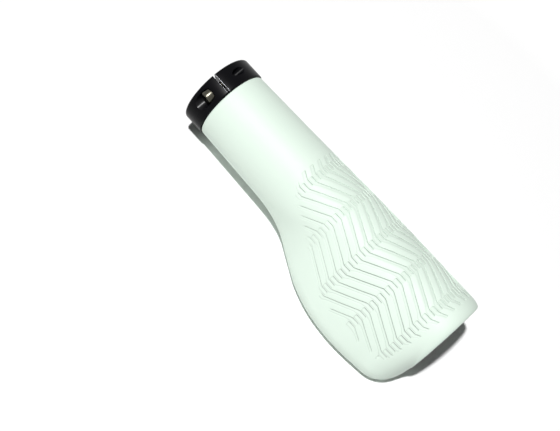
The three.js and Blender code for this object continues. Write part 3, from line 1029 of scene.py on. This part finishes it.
class GRIP_OT_clamp_screw(Operator):
    """Make the clamp screw, with its thread and hexagon socket."""

    bl_idname = "grip.clamp_screw"
    bl_label = "Clamp screw"

    def execute(self, context):
        s = context.scene.grip_clamp
        neck = s.shank / 2 - s.thread_depth / 2
        neck_length = 0.8 * MM
        run_out = 0.1 * MM
        head_start = s.head_seat + s.fit_gap
        head_end = head_start + s.head_length
        loops = threaded_rod(s, -s.reach, head_start - neck_length - run_out)
        head = rounded(
            [
                (neck, head_start - neck_length, 0.0),
                (neck, head_start, 0.1 * MM),
                (s.head / 2, head_start, 0.15 * MM),
                (s.head / 2, head_end, 0.45 * MM),
                (s.socket / 2 + 0.3 * MM, head_end, 0.0),
            ]
        )
        for radius, y in head:
            loops.append([screw_point(radius, y, k) for k in range(SCREW_SIDES)])
        vertices = [(x, -y, z) for loop in loops for x, y, z in loop]
        faces = grid_faces(len(loops), SCREW_SIDES, closed=False)
        faces.append(tuple(range(SCREW_SIDES)))
        faces.append(tuple(range(len(vertices) - SCREW_SIDES, len(vertices))))
        screw = new_object("screw", vertices, faces)
        steel = steel_finish(s)
        screw.data.materials.append(steel)
        socket = circle_outline((0.0, 0.0), s.socket / math.sqrt(3), sides=6)
        cutter = prism("socket", socket, "y", -head_end - MM, s.socket_depth - head_end)
        cut_away(screw, cutter, steel)
        smooth(screw, math.radians(32))
        middle = (s.bore + s.diameter / 2) / 2
        matrix = bar_matrix(s.slit_angle) @ Matrix.Translation((s.width / 2, 0.0, middle))
        settle(screw, matrix, "clamp_screw")
        return {"FINISHED"}


class GRIP_OT_core(Operator):
    """Make the stiff core tube, with the keys that reach into the ring."""

    bl_idname = "grip.core"
    bl_label = "Core tube"

    def execute(self, context):
        s = context.scene.grip_clamp
        start = s.width + context.scene.grip_sleeve.start_gap
        end = CORE_HIGH.x - INBOARD_X
        edge = 0.2 * MM
        outline = rounded(
            [
                (s.bore + edge, start, 0.0),
                (s.core_radius, start, edge),
                (s.core_radius, end, edge),
                (s.bore, end, edge),
                (s.bore, start + edge, 0.0),
            ]
        )
        core = new_object("core", *revolved(outline, sides=128))
        nylon = nylon_finish(s)
        core.data.materials.append(nylon)
        wall = s.core_radius - s.bore
        for angle in key_angles():
            outline = sector_outline(s.bore, s.core_radius, angle, s.key_angle)
            key = prism("key", outline, "x", s.width - s.key_length, start + wall)
            key.data.materials.append(nylon)
            combine(core, key, "UNION")
        smooth(core, math.radians(30))
        settle(core, bar_matrix(s.slit_angle), "core_tube")
        return {"FINISHED"}


class GRIP_OT_end_cap(Operator):
    """Make the end cap and the disc in it."""

    bl_idname = "grip.end_cap"
    bl_label = "End cap"

    def execute(self, context):
        s = context.scene.grip_cap
        bore = context.scene.grip_clamp.bore
        radius = s.diameter / 2
        face = GRIP_LENGTH - s.sink
        floor = face - s.recess
        back = floor - s.web
        skirt = bore - s.skirt_gap
        skirt_end = back - s.skirt_length
        inside = s.disc / 2 + s.disc_gap
        edge = 0.2 * MM
        cap_outline = rounded(
            [
                (0.0, floor, 0.0),
                (inside, floor, 0.15 * MM),
                (inside, face, s.lip_rounding / 2),
                (radius, face, s.lip_rounding),
                (radius, back, edge),
                (skirt, back, edge),
                (skirt, skirt_end, s.skirt_wall / 3),
                (skirt - s.skirt_wall, skirt_end, edge),
                (skirt - s.skirt_wall, back, edge),
                (0.0, back, 0.0),
            ],
            steps=7,
        )
        cap = new_object("cap", *revolved(cap_outline, sides=160))
        cap.data.materials.append(moulded_finish("Black cap plastic", s.black, 0.38, 0.5, 0.25 * MM))
        settle(cap, bar_matrix(), "end_cap")
        disc_back = floor + s.disc_gap
        disc_face = disc_back + s.disc_thickness
        disc_outline = rounded(
            [
                (0.0, disc_back, 0.0),
                (s.disc / 2, disc_back, 0.1 * MM),
                (s.disc / 2, disc_face, 0.25 * MM),
                (0.0, disc_face, 0.0),
            ],
            steps=6,
        )
        disc = new_object("cap_disc", *revolved(disc_outline, sides=160))
        disc.data.materials.append(moulded_finish("Grey disc plastic", s.grey, 0.42, 0.55, 0.3 * MM))
        settle(disc, bar_matrix(), "end_cap_disc")
        return {"FINISHED"}


# Camera's place and axes in the model's frame, as seen in the photograph
CAMERA_PLACE = (0.0546, -0.2450, 0.36315)
CAMERA_RIGHT = (0.6625, 0.6723, 0.3305)
CAMERA_DOWN = (0.7333, -0.4918, -0.4695)
CAMERA_AHEAD = (-0.1531, 0.5534, -0.8187)

# Lamp's place in the camera's own frame (right, up and behind), its width, and where it points
LAMP_PLACE = (0.0, 1.42, 3.15)
LAMP_WIDTH = 0.18
LAMP_TARGET = (0.0, 0.0, 0.02)

# Distances from the grip over which the floor's own glow grows, and its least strength
GLOW_NEAR = 0.18
GLOW_FAR = 0.6
GLOW_LEAST = 0.02


def camera_matrix():
    """The camera's place and turn as one matrix."""
    right = Vector(CAMERA_RIGHT)
    up = -Vector(CAMERA_DOWN)
    back = -Vector(CAMERA_AHEAD)
    turn = Matrix((right, up, back)).transposed()
    return Matrix.Translation(CAMERA_PLACE) @ turn.to_4x4()


def add_lamp(name, place, target, width, energy):
    """A square soft lamp that faces a point."""
    lamp = bpy.data.lights.new(name, "AREA")
    lamp.shape = "SQUARE"
    lamp.size = width
    lamp.energy = energy
    thing = bpy.data.objects.new(name, lamp)
    bpy.context.scene.collection.objects.link(thing)
    thing.location = place
    thing.rotation_euler = (Vector(target) - Vector(place)).to_track_quat("-Z", "Y").to_euler()


def background_strength(tree, low, high):
    """A strength that is high where the camera sees a surface, also by reflection or through glass."""
    rays = tree.nodes.new("ShaderNodeLightPath")
    seen = rays.outputs["Is Camera Ray"]
    for name in ("Is Glossy Ray", "Is Transmission Ray"):
        either = tree.nodes.new("ShaderNodeMath")
        either.operation = "MAXIMUM"
        tree.links.new(seen, either.inputs[0])
        tree.links.new(rays.outputs[name], either.inputs[1])
        seen = either.outputs["Value"]
    strength = tree.nodes.new("ShaderNodeMapRange")
    strength.inputs["To Min"].default_value = low
    strength.inputs["To Max"].default_value = high
    tree.links.new(seen, strength.inputs["Value"])
    return strength.outputs["Result"]


def backdrop_finish():
    """Pale floor that keeps the shadow near the grip and shows plain white far from it."""
    finish = Finish("White floor")
    finish.set(Base_Color=(0.95, 0.95, 0.95, 1.0), Roughness=0.9, Specular_IOR_Level=0.1)
    tree = finish.tree
    glow = tree.nodes.new("ShaderNodeEmission")
    glow.inputs["Color"].default_value = (1.0, 1.0, 1.0, 1.0)
    distance = tree.nodes.new("ShaderNodeVectorMath")
    distance.operation = "LENGTH"
    finish.link(finish.place, distance.inputs[0])
    far = finish.add("ShaderNodeMapRange", From_Min=GLOW_NEAR, From_Max=GLOW_FAR, To_Min=GLOW_LEAST)
    finish.link(distance.outputs["Value"], far.inputs["Value"])
    strength = tree.nodes.new("ShaderNodeMath")
    strength.operation = "MULTIPLY"
    finish.link(background_strength(tree, 0.0, 1.0), strength.inputs[0])
    finish.link(far.outputs["Result"], strength.inputs[1])
    finish.link(strength.outputs["Value"], glow.inputs["Strength"])
    total = tree.nodes.new("ShaderNodeAddShader")
    finish.link(finish.shader.outputs["BSDF"], total.inputs[0])
    finish.link(glow.outputs["Emission"], total.inputs[1])
    finish.link(total.outputs["Shader"], tree.nodes["Material Output"].inputs["Surface"])
    return finish.material


class GRIP_OT_stage(Operator):
    """Make the floor, the lamp, the even light and the camera."""

    bl_idname = "grip.stage"
    bl_label = "Floor, lamp and camera"

    def execute(self, context):
        s = context.scene.grip_stage
        half = s.floor_size / 2
        corners = [(-half, -half, 0), (half, -half, 0), (half, half, 0), (-half, half, 0)]
        mesh = bpy.data.meshes.new("floor")
        mesh.from_pydata(corners, [], [(0, 1, 2, 3)])
        mesh.materials.append(backdrop_finish())
        floor = bpy.data.objects.new("floor", mesh)
        context.scene.collection.objects.link(floor)

        view = camera_matrix()
        camera = bpy.data.cameras.new("camera")
        camera.lens = s.focal_length
        camera.sensor_width = 36.0
        camera.clip_start = 0.01
        camera.clip_end = 50.0
        seer = bpy.data.objects.new("camera", camera)
        context.scene.collection.objects.link(seer)
        seer.matrix_world = view
        context.scene.camera = seer

        lamp_place = view @ Vector(LAMP_PLACE)
        add_lamp("key_lamp", lamp_place, LAMP_TARGET, LAMP_WIDTH, s.key_energy)

        world = bpy.data.worlds.new("even_light")
        world.use_nodes = True
        context.scene.world = world
        tree = world.node_tree
        sky = tree.nodes["Background"]
        sky.inputs["Color"].default_value = (1.0, 1.0, 1.0, 1.0)
        tree.links.new(background_strength(tree, s.sky, 1.0), sky.inputs["Strength"])
        context.scene.view_settings.view_transform = "Standard"
        return {"FINISHED"}


class GRIP_PT_panel(Panel):
    """Lists the grip's pieces in the sidebar."""

    bl_idname = "GRIP_PT_panel"
    bl_label = "Handlebar grip"
    bl_space_type = "VIEW_3D"
    bl_region_type = "UI"
    bl_category = "Grip"

    def draw(self, context):
        layout = self.layout
        for operator in OPERATORS:
            layout.operator(operator.bl_idname)
        for holder in GROUPS:
            layout.label(text=holder.replace("_", " "))
            group = getattr(context.scene, holder)
            for name in group.__annotations__:
                layout.prop(group, name)


OPERATORS = (
    GRIP_OT_sleeve,
    GRIP_OT_clamp_ring,
    GRIP_OT_clamp_screw,
    GRIP_OT_core,
    GRIP_OT_end_cap,
    GRIP_OT_stage,
)
GROUPS = {
    "grip_sleeve": SleeveSizes,
    "grip_clamp": ClampSizes,
    "grip_cap": CapSizes,
    "grip_stage": StageSizes,
}


def register():
    """Registers the classes and puts each group of sizes on the scene."""
    for group in GROUPS.values():
        bpy.utils.register_class(group)
    for operator in OPERATORS:
        bpy.utils.register_class(operator)
    bpy.utils.register_class(GRIP_PT_panel)
    for name, group in GROUPS.items():
        setattr(bpy.types.Scene, name, PointerProperty(type=group))


def unregister():
    """Undoes what register does, in the other order."""
    for name in GROUPS:
        delattr(bpy.types.Scene, name)
    bpy.utils.unregister_class(GRIP_PT_panel)
    for operator in reversed(OPERATORS):
        bpy.utils.unregister_class(operator)
    for group in reversed(GROUPS.values()):
        bpy.utils.unregister_class(group)


def main():
    """Makes every piece and the stage."""
    register()
    bpy.ops.grip.stage()
    bpy.ops.grip.sleeve()
    bpy.ops.grip.clamp_ring()
    bpy.ops.grip.clamp_screw()
    bpy.ops.grip.core()
    bpy.ops.grip.end_cap()


if __name__ == "__main__":
    main()
